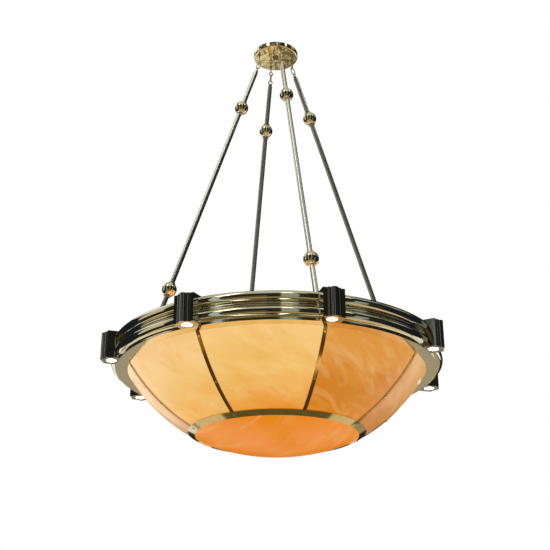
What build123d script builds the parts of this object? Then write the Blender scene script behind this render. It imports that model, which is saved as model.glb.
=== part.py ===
"""Alabaster bowl pendant, in millimetres.

The origin is the centre of the ceiling face, +Z points up, and everything hangs below it.
Angles are counted round +Z from +X. The four legs hang at 45 degrees to the X and Y axes,
the eight lamp housings stand every 45 degrees, and each rib runs down under a housing.
"""
import os
from math import asin, atan2, cos, degrees, hypot, radians, sin, sqrt

from build123d import *

# ---- overall hang ----------------------------------------------------------------------
HANG_DROP = 980.0            # ceiling face to the underside of the rim plate
LEG_COUNT = 4
BAY_COUNT = 8                # lamp housings, ribs and alabaster panels

# ---- clearances ------------------------------------------------------------------------
SEAT_GAP = 0.2               # between curved faces of pieces that are clamped together
LOOP_GAP = 0.3               # between wire loops that hang in each other
BORE_GAP = 0.1               # radial room round studs, screws and spigots
THREAD_GAP = 0.05            # radial room between a thread's two halves

# ---- canopy and ceiling hardware -------------------------------------------------------
CANOPY_DIA = 127.0
CANOPY_DEPTH = 13.5
CANOPY_WALL = 2.0
CANOPY_EDGE_ROUND = 4.0
CROSSBAR_LENGTH = 104.0
CROSSBAR_WIDTH = 20.0
CROSSBAR_THICK = 3.0
BOX_SCREW_SPACING = 88.9     # the usual ceiling box
BOX_SCREW_HOLE_DIA = 5.0
HANGER_PLATE_DIA = 116.0
HANGER_PLATE_THICK = 4.0
NIPPLE_DIA = 13.0
NIPPLE_BORE_DIA = 8.0
NIPPLE_NUT_FLATS = 19.0
NUT_HEIGHT = 3.8
CAP_NUT_DIA = 18.0
CAP_NUT_HEIGHT = 11.0
CAP_NUT_ROUND = 6.0
NIPPLE_BELOW_CANOPY = 6.0

# ---- eyes, links and rod heads ---------------------------------------------------------
EYE_PITCH_R = 49.4           # where the legs hang, from the axis
EYE_CENTRE_DROP = 22.0       # canopy underside to the middle of the eye
WIRE_DIA = 2.8
LOOP_R = 5.5                 # wire centre line of the round eyes
LINK_END_R = 4.5             # wire centre line at the ends of a link
LINK_LENGTH = 22.0           # wire centre line, end to end
STUD_DIA = 5.0
EYE_COLLAR_DIA = 10.0
EYE_COLLAR_HEIGHT = 3.5
EYE_STEM_DIA = 3.6
EYE_NUT_FLATS = 8.0
HEAD_FERRULE_DIA = 10.0
HEAD_FERRULE_LENGTH = 7.0

# ---- rods and balls --------------------------------------------------------------------
ROD_DIA = 12.7
ROD_BORE_DIA = 9.7
SPIGOT_LENGTH = 10.0
BALL_DIA = 38.1
UPPER_BALL_RUN = 169.5       # pivot to the ball's centre, along the rod
LOWER_BALL_RUN = 774.0
BALL_COLLAR_DIA = 18.0
BALL_COLLAR_LENGTH = 20.6    # centre of the ball to the collar's end
BALL_SOCKET_DEPTH = 12.0     # from the collar's end

# ---- rim plate, hoop and reeded band ---------------------------------------------------
HOOP_OUTER_R = 400.0         # everything on the rim is set out from this
HOOP_THICK = 3.0
STONE_EDGE_ROOM = 0.3        # rim plate's opening to the stone
RIM_LEDGE = 8.0              # rim plate beyond the hoop
RIM_OUTER_R = HOOP_OUTER_R + RIM_LEDGE
RIM_THICK = 6.0
ROLL_R = 13.0                # the two big rolls of the band
ROLL_STAND = 9.0             # middle of a roll beyond the hoop
ROLL_CENTRE_R = HOOP_OUTER_R + ROLL_STAND
BEAD_R = 4.85                # the bead between them
BEAD_STAND = 0.6             # middle of the bead beyond the rolls' middles
BEAD_CENTRE_R = ROLL_CENTRE_R + BEAD_STAND
BAND_WALL = 2.0

# ---- rod feet, lugs and pins -----------------------------------------------------------
LUG_PIN_INSET = 59.0         # pin inside the hoop
LUG_PIN_R = HOOP_OUTER_R - LUG_PIN_INSET
LUG_PIN_RISE = 38.0          # above the rim plate's underside
PIN_DIA = 8.0
PIN_PLAY = 0.45              # radial play of the foot on its pin, for the sway
FOOT_EYE_DIA = 19.0
FOOT_THICK = 5.0
FOOT_NECK_WIDTH = 9.0
FOOT_FERRULE_LENGTH = 9.0
FOOT_REACH = 24.0            # pin to the rod's end
CHEEK_THICK = 4.0
CHEEK_PLAY = 0.6             # each side of the foot
CHEEK_EYE_DIA = 20.0
LUG_PLATE_WIDTH = 44.0
LUG_PLATE_HEIGHT = 44.0
LUG_PLATE_THICK = 5.0
PIN_HEAD_DIA = 12.0
PIN_HEAD_THICK = 2.0

# ---- alabaster bowl --------------------------------------------------------------------
BOWL_R = 450.0               # outside radius of the panels' sphere
BOWL_INSET = 21.0            # stone inside the hoop, at the rim plate
BOWL_RIM_R = HOOP_OUTER_R - BOWL_INSET
RIM_BORE_R = BOWL_RIM_R + STONE_EDGE_ROOM
STONE_THICK = 10.0
PANEL_TOP_RISE = 5.0         # above the rim plate's underside
PANEL_JOINT = 4.0            # stone to stone, under a rib
DISC_JOINT_R = 212.5         # middle of the joint between panels and disc
DISC_CROWN = 41.2            # how far the disc bulges below the ring's inner edge
RING_INSIDE_JOINT = 8.5      # ring's reach each side of that joint
RING_OUTSIDE_JOINT = 9.5
RING_INNER_R = DISC_JOINT_R - RING_INSIDE_JOINT
RING_OUTER_R = DISC_JOINT_R + RING_OUTSIDE_JOINT
RING_THICK = 2.5
RIB_WIDTH = 9.0
RIB_THICK = 2.0
INNER_RIB_WIDTH = 13.0
INNER_RIB_THICK = 2.0
INNER_RING_WIDTH = 24.0
TOP_SCREW_INSET = 6.0        # rib screws inside the bowl's rim
LOW_SCREW_INSET = 84.0
RIB_SCREW_RS = (BOWL_RIM_R - TOP_SCREW_INSET, BOWL_RIM_R - LOW_SCREW_INSET)
CLAMP_SCREW_DIA = 3.0
CLAMP_HEAD_DIA = 6.0
CLAMP_HEAD_THICK = 1.6
CLAMP_HEAD_TAPER = 25.0      # degrees

# ---- lamp housings ---------------------------------------------------------------------
HOUSING_DEPTH = 41.0         # hoop to the flat wings of the front
HOUSING_FACE_R = HOOP_OUTER_R + HOUSING_DEPTH
HOUSING_WIDTH = 52.0
HOUSING_HEIGHT = 69.0
HOUSING_CAP_THICK = 3.0
REED_R = 3.2                 # slim reeds beside the half column
REED_STAND = 1.3             # middle of a reed beyond the wings
REED_CENTRE_R = HOUSING_FACE_R + REED_STAND
REED_OFFSET = 12.4
COLUMN_R = 9.2               # half column up the middle
COLUMN_STAND = 1.8           # middle of the column beyond the wings
COLUMN_CENTRE_R = HOUSING_FACE_R + COLUMN_STAND
LAMP_FRONT_WALL = 1.5        # thinnest wall in front of the lamp's bore
LAMP_BORE_DIA = 30.0
LAMP_CENTRE_R = HOUSING_FACE_R - LAMP_FRONT_WALL - LAMP_BORE_DIA / 2
SPOT_LAMP_DIA = 25.4
SPOT_LAMP_LENGTH = 36.0
SPOT_RIM_HEIGHT = 3.2        # straight rim below the reflector's cone
SPOT_CONE_TOP = 25.4         # lens to the neck
SPOT_LAMP_NECK_DIA = 12.0
SPOT_RECESS = 2.0            # lens face above the housing's underside
BEZEL_THICK = 1.6
BEZEL_OPENING_DIA = 24.0
SOCKET_GRIP = 5.3            # socket skirt round the lamp's neck

# ---- screws that hold the lugs and the housings on the hoop ----------------------------
BAY_SCREW_DIA = 4.0
BAY_SCREW_HEAD_DIA = 7.0
BAY_SCREW_HEAD_THICK = 2.4
BAY_SCREW_GRIP = 6.0         # thread inside the housing's wall
BAY_SCREW_OFFSET = 17.1      # each side of the bay's middle
BAY_SCREW_SPACING = 28.0     # between the two rows

# ---- lamps over the bowl ---------------------------------------------------------------
LAMP_ARM_WIDTH = 25.0
LAMP_ARM_THICK = 4.0
LAMP_ARM_INSET = 5.0         # arm's tip inside the hoop
LAMP_ARM_TIP_R = HOOP_OUTER_R - LAMP_ARM_INSET
LAMP_HUB_DIA = 84.0
ARM_SCREW_INSET = 11.0
ARM_SCREW_R = HOOP_OUTER_R - ARM_SCREW_INSET
ARM_SCREW_DIA = 4.0
ARM_SCREW_HEAD_DIA = 7.0
ARM_SCREW_HEAD_THICK = 2.5
WIRING_CUP_DIA = 76.0
WIRING_CUP_HEIGHT = 28.0
WIRING_CUP_WALL = 1.5
BOWL_LAMP_R = 150.0          # lamp axes, from the pendant's axis
LAMPHOLDER_DIA = 38.0
LAMPHOLDER_HEIGHT = 42.0
LAMPHOLDER_BORE_DIA = 28.0
BULB_DIA = 58.0
BULB_BASE_DIA = 27.0
BULB_LENGTH = 104.0          # base and glass
BULB_BASE_LENGTH = 28.0
BULB_NECK_TURN = 30.0        # degrees above the globe's middle where the neck starts

# ---- derived places --------------------------------------------------------------------
RIM_Z = -HANG_DROP
RIM_TOP_Z = RIM_Z + RIM_THICK
LEG_ANGLES = [45 + 360 / LEG_COUNT * k for k in range(LEG_COUNT)]
BAY_ANGLES = [360 / BAY_COUNT * k for k in range(BAY_COUNT)]
LAMP_ARM_ANGLES = [360 / LEG_COUNT * k for k in range(LEG_COUNT)]

EYE_CENTRE_Z = -CANOPY_DEPTH - EYE_CENTRE_DROP
LUG_PIN_Z = RIM_Z + LUG_PIN_RISE
HALF_HANG = (WIRE_DIA + LOOP_GAP) / 2
PIVOT_Z = EYE_CENTRE_Z - LOOP_R + HALF_HANG
LEG_TILT = atan2(LUG_PIN_R - EYE_PITCH_R, PIVOT_Z - LUG_PIN_Z)
LEG_RUN = hypot(LUG_PIN_R - EYE_PITCH_R, PIVOT_Z - LUG_PIN_Z)
APEX_Z = PIVOT_Z + EYE_PITCH_R * cos(LEG_TILT) / sin(LEG_TILT)

BOWL_CENTRE_Z = RIM_Z + sqrt(BOWL_R**2 - BOWL_RIM_R**2)
HOOP_INNER_R = HOOP_OUTER_R - HOOP_THICK
BAND_TOP_Z = RIM_TOP_Z + 4 * ROLL_R + 2 * BEAD_R
OUTSIDE = 2 * HOUSING_FACE_R     # larger than the whole pendant, for cutting shapes

os.makedirs("parts", exist_ok=True)


def radial_plane(angle):
    """Upright plane through the axis: x runs outward, y runs up."""
    a = radians(angle)
    return Plane(origin=(0, 0, 0), x_dir=(cos(a), sin(a), 0), z_dir=(sin(a), -cos(a), 0))


def plan_plane(angle, height):
    """Level plane: x runs outward at the angle, y runs sideways."""
    a = radians(angle)
    return Plane(origin=(0, 0, height), x_dir=(cos(a), sin(a), 0), z_dir=(0, 0, 1))


def upright(angle, radius, height):
    """Level plane set out at a radius: z runs up."""
    a = radians(angle)
    return Plane(
        origin=(radius * cos(a), radius * sin(a), height),
        x_dir=(cos(a), sin(a), 0),
        z_dir=(0, 0, 1),
    )


def facing_out(angle, radius, height):
    """Upright plane set out at a radius: z runs outward."""
    a = radians(angle)
    return Plane(
        origin=(radius * cos(a), radius * sin(a), height),
        x_dir=(-sin(a), cos(a), 0),
        z_dir=(cos(a), sin(a), 0),
    )


def leg_plane(angle, run):
    """Plane across a leg at a distance below its pivot: z runs up the leg, y runs sideways."""
    a = radians(angle)
    radius = EYE_PITCH_R + run * sin(LEG_TILT)
    height = PIVOT_Z - run * cos(LEG_TILT)
    return Plane(
        origin=(radius * cos(a), radius * sin(a), height),
        x_dir=(cos(LEG_TILT) * cos(a), cos(LEG_TILT) * sin(a), sin(LEG_TILT)),
        z_dir=(-sin(LEG_TILT) * cos(a), -sin(LEG_TILT) * sin(a), cos(LEG_TILT)),
    )


def bowl_normal(angle, radius, sphere_radius):
    """Plane on a sphere round the bowl's centre, z runs outward, away from the stone."""
    a = radians(angle)
    drop = sqrt(sphere_radius**2 - radius**2)
    return Plane(
        origin=(radius * cos(a), radius * sin(a), BOWL_CENTRE_Z - drop),
        x_dir=(-sin(a), cos(a), 0),
        z_dir=(radius * cos(a), radius * sin(a), -drop),
    )


def on_sphere(sphere_radius, radius):
    """Point of a section at a radius from the axis, on a sphere round the bowl's centre."""
    return (radius, BOWL_CENTRE_Z - sqrt(sphere_radius**2 - radius**2))


def at_height(sphere_radius, height):
    """Point of a section at a height, on a sphere round the bowl's centre."""
    return (sqrt(sphere_radius**2 - (BOWL_CENTRE_Z - height) ** 2), height)


def along_sphere(sphere_radius, turn):
    """Point of a section by its turn in radians from straight down."""
    return (sphere_radius * sin(turn), BOWL_CENTRE_Z - sphere_radius * cos(turn))


def sphere_arc(sphere_radius, start, end):
    """Arc on a sphere round the bowl's centre between two section points."""
    middle = on_sphere(sphere_radius, (start[0] + end[0]) / 2)
    ThreePointArc(start, middle, end)


def save(builder, name):
    builder.part.label = name
    export_step(builder.part, f"parts/{name}.step")


# ======================================================================== ceiling group
with BuildPart() as canopy:
    with BuildSketch(Plane.XZ):
        radius = CANOPY_DIA / 2
        with BuildLine():
            Polyline(
                (0, -CANOPY_DEPTH),
                (radius, -CANOPY_DEPTH),
                (radius, 0),
                (radius - CANOPY_WALL, 0),
                (radius - CANOPY_WALL, -CANOPY_DEPTH + CANOPY_WALL),
                (0, -CANOPY_DEPTH + CANOPY_WALL),
                close=True,
            )
        face = make_face()
        outer = face.vertices().sort_by(Axis.X)[-2:].sort_by(Axis.Z)[0]
        fillet(outer, CANOPY_EDGE_ROUND)
    revolve(axis=Axis.Z)
    with Locations((0, 0, -CANOPY_DEPTH)):
        Cylinder(NIPPLE_DIA / 2 + BORE_GAP, 3 * CANOPY_WALL, mode=Mode.SUBTRACT)
    for angle in LEG_ANGLES:
        with Locations(upright(angle, EYE_PITCH_R, -CANOPY_DEPTH)):
            Cylinder(STUD_DIA / 2 + BORE_GAP, 3 * CANOPY_WALL, mode=Mode.SUBTRACT)
save(canopy, "canopy")

PLATE_TOP_Z = -CANOPY_DEPTH + CANOPY_WALL + HANGER_PLATE_THICK
with BuildPart() as hanger_plate:
    with BuildSketch(Plane.XY.offset(PLATE_TOP_Z - HANGER_PLATE_THICK)):
        Circle(HANGER_PLATE_DIA / 2)
        Circle(NIPPLE_DIA / 2 + BORE_GAP, mode=Mode.SUBTRACT)
        with PolarLocations(EYE_PITCH_R, LEG_COUNT, start_angle=LEG_ANGLES[0]):
            Circle(STUD_DIA / 2 + BORE_GAP, mode=Mode.SUBTRACT)
    extrude(amount=HANGER_PLATE_THICK)
save(hanger_plate, "hanger_plate")

with BuildPart() as crossbar:
    with BuildSketch(Plane.XY.offset(-CROSSBAR_THICK)):
        SlotOverall(CROSSBAR_LENGTH, CROSSBAR_WIDTH)
        Circle(NIPPLE_DIA / 2 + THREAD_GAP, mode=Mode.SUBTRACT)
        with GridLocations(BOX_SCREW_SPACING, 0, 2, 1):
            Circle(BOX_SCREW_HOLE_DIA / 2, mode=Mode.SUBTRACT)
    extrude(amount=CROSSBAR_THICK)
save(crossbar, "crossbar")

NIPPLE_LENGTH = CANOPY_DEPTH + NIPPLE_BELOW_CANOPY
with BuildPart() as nipple:
    with BuildSketch(Plane.XY.offset(-NIPPLE_LENGTH)):
        Circle(NIPPLE_DIA / 2)
        Circle(NIPPLE_BORE_DIA / 2, mode=Mode.SUBTRACT)
    extrude(amount=NIPPLE_LENGTH)
save(nipple, "threaded_nipple")

with BuildPart() as cap_nut:
    with BuildSketch(Plane.XY.offset(-CANOPY_DEPTH - CAP_NUT_HEIGHT)):
        Circle(CAP_NUT_DIA / 2)
    extrude(amount=CAP_NUT_HEIGHT)
    bottom = cap_nut.faces().sort_by(Axis.Z)[0].edges()
    fillet(bottom, CAP_NUT_ROUND)
    with BuildSketch(Plane.XY.offset(-CANOPY_DEPTH)):
        Circle(NIPPLE_DIA / 2 + THREAD_GAP)
    extrude(amount=-NIPPLE_BELOW_CANOPY - SEAT_GAP, mode=Mode.SUBTRACT)
save(cap_nut, "canopy_cap_nut")

EYE_CENTRE_R = EYE_PITCH_R + HALF_HANG * sin(LEG_TILT)
EYE_RING_Z = PIVOT_Z - HALF_HANG * cos(LEG_TILT) + LOOP_R
EYE_STUD_TOP_Z = PLATE_TOP_Z + NUT_HEIGHT
with BuildPart() as canopy_eyes:
    for angle in LEG_ANGLES:
        with Locations(facing_out(angle, EYE_CENTRE_R, EYE_RING_Z)):
            Torus(LOOP_R, WIRE_DIA / 2)
        with BuildSketch(upright(angle, EYE_PITCH_R, -CANOPY_DEPTH)):
            Circle(STUD_DIA / 2)
        extrude(amount=CANOPY_DEPTH + EYE_STUD_TOP_Z)
        with BuildSketch(upright(angle, EYE_PITCH_R, -CANOPY_DEPTH - EYE_COLLAR_HEIGHT)):
            Circle(EYE_COLLAR_DIA / 2)
        extrude(amount=EYE_COLLAR_HEIGHT)
        with BuildSketch(upright(angle, EYE_PITCH_R, EYE_RING_Z + LOOP_R)):
            Circle(EYE_STEM_DIA / 2)
        extrude(amount=-CANOPY_DEPTH - EYE_COLLAR_HEIGHT - EYE_RING_Z - LOOP_R)
save(canopy_eyes, "canopy_eyes")

with BuildPart() as canopy_nuts:
    with BuildSketch(Plane.XY.offset(PLATE_TOP_Z)):
        RegularPolygon(NIPPLE_NUT_FLATS / 2, 6, major_radius=False)
        Circle(NIPPLE_DIA / 2 + THREAD_GAP, mode=Mode.SUBTRACT)
    extrude(amount=NUT_HEIGHT)
    for angle in LEG_ANGLES:
        with BuildSketch(upright(angle, EYE_PITCH_R, PLATE_TOP_Z)):
            RegularPolygon(EYE_NUT_FLATS / 2, 6, major_radius=False)
            Circle(STUD_DIA / 2 + THREAD_GAP, mode=Mode.SUBTRACT)
        extrude(amount=NUT_HEIGHT)
save(canopy_nuts, "canopy_nuts")

# ================================================================================= legs
LINK_MIDDLE_RUN = LINK_LENGTH / 2 - HALF_HANG
HEAD_EYE_RUN = LINK_LENGTH - HALF_HANG - 2 * HALF_HANG + LOOP_R
FERRULE_TOP_RUN = HEAD_EYE_RUN + LOOP_R
ROD_TOP_RUN = FERRULE_TOP_RUN + HEAD_FERRULE_LENGTH
ROD_END_RUN = LEG_RUN - FOOT_REACH
BALL_RUNS = (UPPER_BALL_RUN, LOWER_BALL_RUN)
SOCKET_REACH = BALL_COLLAR_LENGTH - BALL_SOCKET_DEPTH
TUBE_STARTS = [ROD_TOP_RUN] + [run + SOCKET_REACH for run in BALL_RUNS]
TUBE_ENDS = [run - SOCKET_REACH for run in BALL_RUNS] + [ROD_END_RUN]


def make_link(angle):
    """Oval wire link, lying in the leg's upright plane."""
    straight = LINK_LENGTH - 2 * LINK_END_R
    with BuildPart() as link:
        for end in (1, -1):
            run = LINK_MIDDLE_RUN - end * straight / 2
            across = leg_plane(angle, run)
            bend = Plane(origin=across.origin, x_dir=across.x_dir, z_dir=across.y_dir)
            with Locations(bend):
                Torus(LINK_END_R, WIRE_DIA / 2)
        with BuildSketch(leg_plane(angle, LINK_MIDDLE_RUN)):
            Rectangle(4 * LINK_END_R, 4 * LINK_END_R)
        extrude(amount=straight / 2, both=True, mode=Mode.SUBTRACT)
        with BuildSketch(leg_plane(angle, LINK_MIDDLE_RUN)):
            with Locations((LINK_END_R, 0), (-LINK_END_R, 0)):
                Circle(WIRE_DIA / 2)
        extrude(amount=straight / 2, both=True)
    return link


def make_rod_ends(angle):
    """Eye with a ferrule at the top, flat eye for the pin at the foot, spigots in the rod."""
    with BuildPart() as ends:
        across = leg_plane(angle, HEAD_EYE_RUN)
        with Locations(Plane(origin=across.origin, x_dir=across.y_dir, z_dir=across.x_dir)):
            Torus(LOOP_R, WIRE_DIA / 2)
        with BuildSketch(leg_plane(angle, FERRULE_TOP_RUN)):
            Circle(HEAD_FERRULE_DIA / 2)
        extrude(amount=-HEAD_FERRULE_LENGTH)
        with BuildSketch(leg_plane(angle, ROD_TOP_RUN)):
            Circle(ROD_BORE_DIA / 2 - BORE_GAP)
        extrude(amount=-SPIGOT_LENGTH)
        pin = leg_plane(angle, LEG_RUN)
        flat = Plane(origin=pin.origin, x_dir=pin.x_dir, z_dir=pin.y_dir)
        with BuildSketch(flat):
            Circle(FOOT_EYE_DIA / 2)
            with Locations((0, -FOOT_REACH / 2)):
                Rectangle(FOOT_NECK_WIDTH, FOOT_REACH)
        extrude(amount=FOOT_THICK / 2, both=True)
        with BuildSketch(flat):
            Circle(PIN_DIA / 2 + PIN_PLAY)
        extrude(amount=FOOT_THICK, both=True, mode=Mode.SUBTRACT)
        with BuildSketch(leg_plane(angle, ROD_END_RUN)):
            Circle(ROD_DIA / 2)
        extrude(amount=-FOOT_FERRULE_LENGTH)
        with BuildSketch(leg_plane(angle, ROD_END_RUN)):
            Circle(ROD_BORE_DIA / 2 - BORE_GAP)
        extrude(amount=SPIGOT_LENGTH)
    return ends


def make_rod_tubes(angle):
    """Three lengths of tube, parted by the two balls."""
    with BuildPart() as tubes:
        for start, end in zip(TUBE_STARTS, TUBE_ENDS):
            with BuildSketch(leg_plane(angle, start)):
                Circle(ROD_DIA / 2)
                Circle(ROD_BORE_DIA / 2, mode=Mode.SUBTRACT)
            extrude(amount=start - end)
    return tubes


def make_rod_balls(angle):
    """Two balls with a collar and a socket at each side."""
    with BuildPart() as balls:
        for run in BALL_RUNS:
            with Locations(leg_plane(angle, run)):
                Sphere(BALL_DIA / 2)
                Cylinder(BALL_COLLAR_DIA / 2, 2 * BALL_COLLAR_LENGTH)
            for side in (1, -1):
                with BuildSketch(leg_plane(angle, run - side * BALL_COLLAR_LENGTH)):
                    Circle(ROD_DIA / 2 + BORE_GAP)
                extrude(amount=-side * BALL_SOCKET_DEPTH, mode=Mode.SUBTRACT)
    return balls


for number, angle in enumerate(LEG_ANGLES, start=1):
    save(make_link(angle), f"link_{number}")
    save(make_rod_ends(angle), f"rod_ends_{number}")
    save(make_rod_tubes(angle), f"rod_tubes_{number}")
    save(make_rod_balls(angle), f"rod_balls_{number}")

# ===================================================================== rim, hoop and band
STONE_EDGE_R = at_height(BOWL_R, RIM_TOP_Z)[0]
with BuildPart() as rim_plate:
    with BuildSketch(Plane.XZ):
        with BuildLine():
            Polyline(
                (RIM_BORE_R, RIM_Z),
                (RIM_OUTER_R, RIM_Z),
                (RIM_OUTER_R, RIM_TOP_Z),
                (STONE_EDGE_R + RIM_BORE_R - BOWL_RIM_R, RIM_TOP_Z),
                close=True,
            )
        make_face()
    revolve(axis=Axis.Z)
    for angle in LAMP_ARM_ANGLES:
        with Locations(upright(angle, ARM_SCREW_R, RIM_TOP_Z)):
            Cylinder(ARM_SCREW_DIA / 2 + THREAD_GAP, 3 * RIM_THICK, mode=Mode.SUBTRACT)
save(rim_plate, "rim_plate")

BAY_SCREW_ZS = [LUG_PIN_Z - BAY_SCREW_SPACING / 2, LUG_PIN_Z + BAY_SCREW_SPACING / 2]


def bay_screw_planes(angle, radius):
    """The four screw places of a bay, facing outward."""
    turn = degrees(BAY_SCREW_OFFSET / HOOP_OUTER_R)
    places = []
    for side in (1, -1):
        for height in BAY_SCREW_ZS:
            places.append(facing_out(angle + side * turn, radius, height))
    return places


with BuildPart() as hoop:
    with BuildSketch(Plane.XY.offset(RIM_TOP_Z)):
        Circle(HOOP_OUTER_R)
        Circle(HOOP_INNER_R, mode=Mode.SUBTRACT)
    extrude(amount=BAND_TOP_Z - RIM_TOP_Z)
    for angle in BAY_ANGLES:
        with Locations(*bay_screw_planes(angle, HOOP_OUTER_R)):
            Cylinder(BAY_SCREW_DIA / 2 + BORE_GAP, 4 * HOOP_THICK, mode=Mode.SUBTRACT)
save(hoop, "inner_hoop")

LOWER_ROLL_Z = RIM_TOP_Z + ROLL_R
BEAD_Z = LOWER_ROLL_Z + ROLL_R + BEAD_R
UPPER_ROLL_Z = BEAD_Z + BEAD_R + ROLL_R
BAND_INNER_R = HOOP_OUTER_R + SEAT_GAP
with BuildPart() as reeded_band:
    with BuildSketch(Plane.XZ):
        with Locations((ROLL_CENTRE_R, LOWER_ROLL_Z), (ROLL_CENTRE_R, UPPER_ROLL_Z)):
            Circle(ROLL_R)
        with Locations((BEAD_CENTRE_R, BEAD_Z)):
            Circle(BEAD_R)
        with Locations((BAND_INNER_R, RIM_TOP_Z)):
            Rectangle(
                ROLL_CENTRE_R - BAND_INNER_R,
                BAND_TOP_Z - RIM_TOP_Z,
                align=(Align.MIN, Align.MIN),
            )
        with Locations((ROLL_CENTRE_R, LOWER_ROLL_Z), (ROLL_CENTRE_R, UPPER_ROLL_Z)):
            Circle(ROLL_R - BAND_WALL, mode=Mode.SUBTRACT)
        with Locations((BEAD_CENTRE_R, BEAD_Z)):
            Circle(BEAD_R - BAND_WALL, mode=Mode.SUBTRACT)
        with Locations((ROLL_CENTRE_R, RIM_TOP_Z + BAND_WALL)):
            Rectangle(
                ROLL_CENTRE_R,
                BAND_TOP_Z - RIM_TOP_Z - 2 * BAND_WALL,
                align=(Align.MAX, Align.MIN),
                mode=Mode.SUBTRACT,
            )
        with Locations((BEAD_CENTRE_R, BEAD_Z - BEAD_R), (BEAD_CENTRE_R, BEAD_Z + BEAD_R)):
            Rectangle(BEAD_CENTRE_R, BAND_WALL, align=(Align.MAX, Align.CENTER))
        with Locations((0, RIM_Z)):
            Rectangle(BAND_INNER_R, OUTSIDE, align=(Align.MIN, Align.MIN), mode=Mode.SUBTRACT)
    revolve(axis=Axis.Z)
    with BuildSketch(Plane.XY.offset(RIM_Z)):
        with PolarLocations(ROLL_CENTRE_R, BAY_COUNT):
            Rectangle(6 * ROLL_R, HOUSING_WIDTH)
    extrude(amount=2 * HOUSING_HEIGHT, mode=Mode.SUBTRACT)
save(reeded_band, "reeded_band_segments")

# ============================================================================ lug group
LUG_BACK_R = HOOP_INNER_R - SEAT_GAP
LUG_INNER_R = LUG_BACK_R - LUG_PLATE_THICK
CHEEK_OFFSET = FOOT_THICK / 2 + CHEEK_PLAY
with BuildPart() as lugs:
    for angle in LEG_ANGLES:
        with BuildSketch(facing_out(angle, LUG_BACK_R - 2 * LUG_PLATE_THICK, LUG_PIN_Z)):
            Rectangle(LUG_PLATE_WIDTH, LUG_PLATE_HEIGHT)
        extrude(amount=2 * LUG_PLATE_THICK)
    with BuildSketch(Plane.XY.offset(RIM_Z)):
        Circle(LUG_BACK_R)
        Circle(LUG_INNER_R, mode=Mode.SUBTRACT)
    extrude(amount=HANG_DROP, mode=Mode.INTERSECT)
    for angle in LEG_ANGLES:
        for side in (1, -1):
            with BuildSketch(radial_plane(angle).offset(side * CHEEK_OFFSET)):
                with BuildLine():
                    Polyline(
                        (LUG_BACK_R - LUG_PLATE_THICK / 2, LUG_PIN_Z + LUG_PLATE_HEIGHT / 2),
                        (LUG_BACK_R - LUG_PLATE_THICK / 2, LUG_PIN_Z - LUG_PLATE_HEIGHT / 2),
                        (LUG_PIN_R, LUG_PIN_Z - CHEEK_EYE_DIA / 2),
                        (LUG_PIN_R, LUG_PIN_Z + CHEEK_EYE_DIA / 2),
                        close=True,
                    )
                make_face()
                with Locations((LUG_PIN_R, LUG_PIN_Z)):
                    Circle(CHEEK_EYE_DIA / 2)
                    Circle(PIN_DIA / 2 + BORE_GAP, mode=Mode.SUBTRACT)
            extrude(amount=side * CHEEK_THICK)
        with Locations(*bay_screw_planes(angle, LUG_BACK_R)):
            Cylinder(BAY_SCREW_DIA / 2 + BORE_GAP, 4 * LUG_PLATE_THICK, mode=Mode.SUBTRACT)
save(lugs, "rod_lugs")

PIN_REACH = CHEEK_OFFSET + CHEEK_THICK + SEAT_GAP
with BuildPart() as lug_pins:
    for angle in LEG_ANGLES:
        side_plane = radial_plane(angle)
        with BuildSketch(side_plane):
            with Locations((LUG_PIN_R, LUG_PIN_Z)):
                Circle(PIN_DIA / 2)
        extrude(amount=PIN_REACH, both=True)
        for side in (1, -1):
            with BuildSketch(side_plane.offset(side * PIN_REACH)):
                with Locations((LUG_PIN_R, LUG_PIN_Z)):
                    Circle(PIN_HEAD_DIA / 2)
            extrude(amount=side * PIN_HEAD_THICK)
save(lug_pins, "lug_pins")

# ======================================================================= alabaster bowl
JOINT_TURN = asin(DISC_JOINT_R / BOWL_R)
JOINT_HALF_TURN = PANEL_JOINT / 2 / BOWL_R
INNER_STONE_R = BOWL_R - STONE_THICK
PANEL_TOP_Z = RIM_Z + PANEL_TOP_RISE


def shell_section(inner_radius, outer_radius, top_z, low_turn):
    """Section of a spherical shell from a level top edge down to a square-cut lower edge."""
    top_out = at_height(outer_radius, top_z)
    top_in = at_height(inner_radius, top_z)
    low_out = along_sphere(outer_radius, low_turn)
    low_in = along_sphere(inner_radius, low_turn)
    with BuildSketch(Plane.XZ) as section:
        with BuildLine():
            sphere_arc(outer_radius, top_out, low_out)
            Line(low_out, low_in)
            sphere_arc(inner_radius, low_in, top_in)
            Line(top_in, top_out)
        make_face()
    return section


def make_panel(angle):
    """One bowl panel, from the rim plate down to the ring round the disc."""
    half_bay = 180 / BAY_COUNT
    apex = PANEL_JOINT / 2 / sin(radians(half_bay))
    with BuildPart() as panel:
        low_turn = JOINT_TURN + JOINT_HALF_TURN
        section = shell_section(INNER_STONE_R, BOWL_R, PANEL_TOP_Z, low_turn)
        revolve(section.sketch, axis=Axis.Z)
        with BuildSketch(plan_plane(angle, RIM_Z - BOWL_R)):
            reach = OUTSIDE * cos(radians(half_bay))
            half_width = OUTSIDE * sin(radians(half_bay))
            with BuildLine():
                Polyline(
                    (apex, 0),
                    (apex + reach, -half_width),
                    (apex + reach, half_width),
                    close=True,
                )
            make_face()
        extrude(amount=2 * BOWL_R, mode=Mode.INTERSECT)
    return panel


for number, angle in enumerate(BAY_ANGLES, start=1):
    save(make_panel(angle + 180 / BAY_COUNT), f"alabaster_panel_{number}")

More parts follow.
